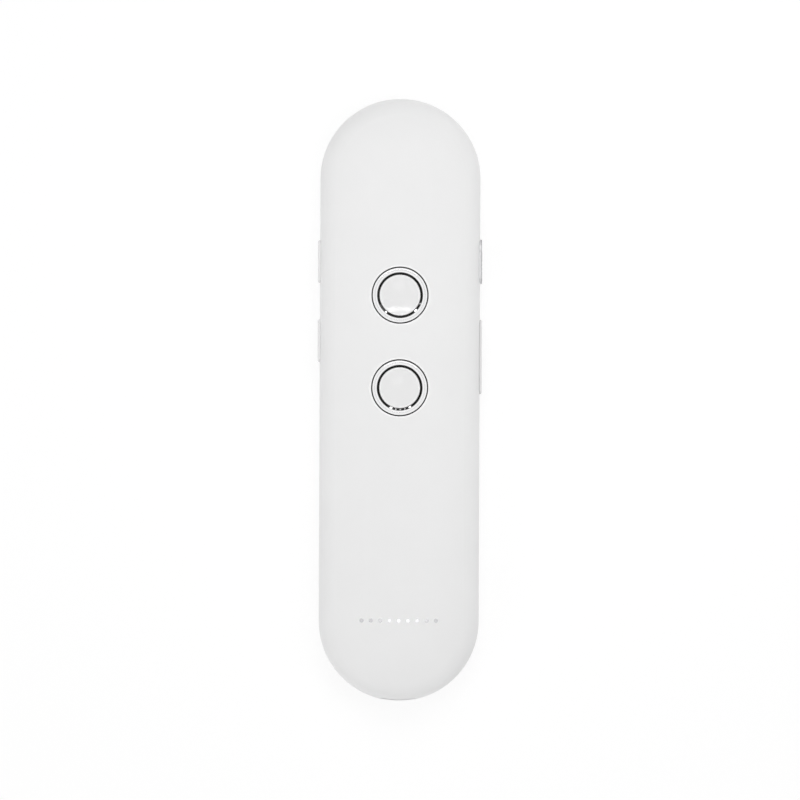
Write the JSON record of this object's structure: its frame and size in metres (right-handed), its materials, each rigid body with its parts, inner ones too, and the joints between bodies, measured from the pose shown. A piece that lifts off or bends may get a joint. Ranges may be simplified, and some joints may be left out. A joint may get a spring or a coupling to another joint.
{
  "type": "handheld translator",
  "caption": "Slim stadium-shaped white handheld voice translator with two round ringed push buttons, side keys, a power slide and a volume rocker.",
  "frame": {"origin": "middle of the flat back, at the bottom centre of the bounding box", "axes": "+Z out of the front face, +Y along the housing to the end nearest the round buttons, +X to the right seen from the front"},
  "size_m": [0.039, 0.1429, 0.0121],
  "materials": {
    "shell_white": "satin moulded",
    "key_white": "satin moulded",
    "bezel_chrome": "polished",
    "ring_dark": "polished black nickel",
    "surround_satin": "satin",
    "grille_metal": "satin",
    "steel": "plain",
    "black_plastic": "moulded",
    "black_rubber": "plain",
    "cone_paper": "pulp",
    "battery_foil": "laminated foil",
    "tape_yellow": "polyimide tape",
    "lead_red": "insulated wire",
    "plug_white": "moulded",
    "board_green": "solder mask",
    "ceramic_tan": "plain"
  },
  "bodies": {
    "housing": {"front_shell": "shell_white", "rear_shell": "shell_white", "upper_bezel": "bezel_chrome", "lower_bezel": "bezel_chrome", "bezel_tape": "black_rubber", "upper_switch": "steel", "lower_switch": "steel", "left_switches": "steel", "power_surround": "surround_satin", "slide_switch": "steel", "rocker_switches": "steel", "usb_socket": "steel", "usb_tongue": "black_plastic", "microphone": "steel", "microphone_boot": "black_rubber", "speaker_grille": "grille_metal", "speaker_gasket": "black_rubber", "speaker_basket": "steel", "speaker_cone": "cone_paper", "speaker_magnet": "steel", "battery": "battery_foil", "battery_pad": "black_rubber", "protection_board": "tape_yellow", "battery_lead": "lead_red", "battery_plug": "plug_white", "main_board": "board_green", "board_screws": "steel", "shield_can": "steel", "chips": "black_plastic", "antenna": "ceramic_tan"},
    "upper_button": {"upper_button": "key_white", "upper_button_ring": "ring_dark", "upper_switch_plunger": "black_plastic"},
    "lower_button": {"lower_button": "key_white", "lower_button_ring": "ring_dark", "lower_switch_plunger": "black_plastic"},
    "left_upper_button": {"left_upper_button": "key_white", "left_upper_plunger": "black_plastic"},
    "left_lower_button": {"left_lower_button": "key_white", "left_lower_plunger": "black_plastic"},
    "power_knob": {"power_knob": "key_white", "slide_switch_lever": "black_plastic"},
    "volume_rocker": {"volume_rocker": "key_white"},
    "rocker_upper_plunger": {"rocker_upper_plunger": "black_plastic"},
    "rocker_lower_plunger": {"rocker_lower_plunger": "black_plastic"}
  },
  "joints": [
    {"name": "upper_button_press", "type": "slide", "parent": "housing", "child": "upper_button", "axis": [0, 0, -1], "range_m": [0, 0.00035], "stiffness_N_per_m": 2000},
    {"name": "lower_button_press", "type": "slide", "parent": "housing", "child": "lower_button", "axis": [0, 0, -1], "range_m": [0, 0.00035], "stiffness_N_per_m": 2000},
    {"name": "left_upper_press", "type": "slide", "parent": "housing", "child": "left_upper_button", "axis": [1, 0, 0], "range_m": [0, 0.0003], "stiffness_N_per_m": 2000},
    {"name": "left_lower_press", "type": "slide", "parent": "housing", "child": "left_lower_button", "axis": [1, 0, 0], "range_m": [0, 0.0003], "stiffness_N_per_m": 2000},
    {"name": "power_slide", "type": "slide", "parent": "housing", "child": "power_knob", "axis": [0, 1, 0], "range_m": [0, 0.0024]},
    {"name": "rocker_tilt", "type": "hinge", "parent": "housing", "child": "volume_rocker", "pos_m": [0.0162, 0.0103, 0.005], "axis": [0, 0, 1], "range_deg": [-1.8, 1.8], "stiffness_Nm_per_rad": 0.1},
    {"name": "rocker_upper_plunge", "type": "slide", "parent": "housing", "child": "rocker_upper_plunger", "axis": [1, 0, 0], "range_m": [-0.000175, 0.000175]},
    {"name": "rocker_lower_plunge", "type": "slide", "parent": "housing", "child": "rocker_lower_plunger", "axis": [1, 0, 0], "range_m": [-0.000175, 0.000175]}
  ],
  "couplings": [
    {"joint": "rocker_upper_plunge", "follows": "rocker_tilt", "m_per_rad": -0.0055},
    {"joint": "rocker_lower_plunge", "follows": "rocker_tilt", "m_per_rad": 0.0055}
  ]
}
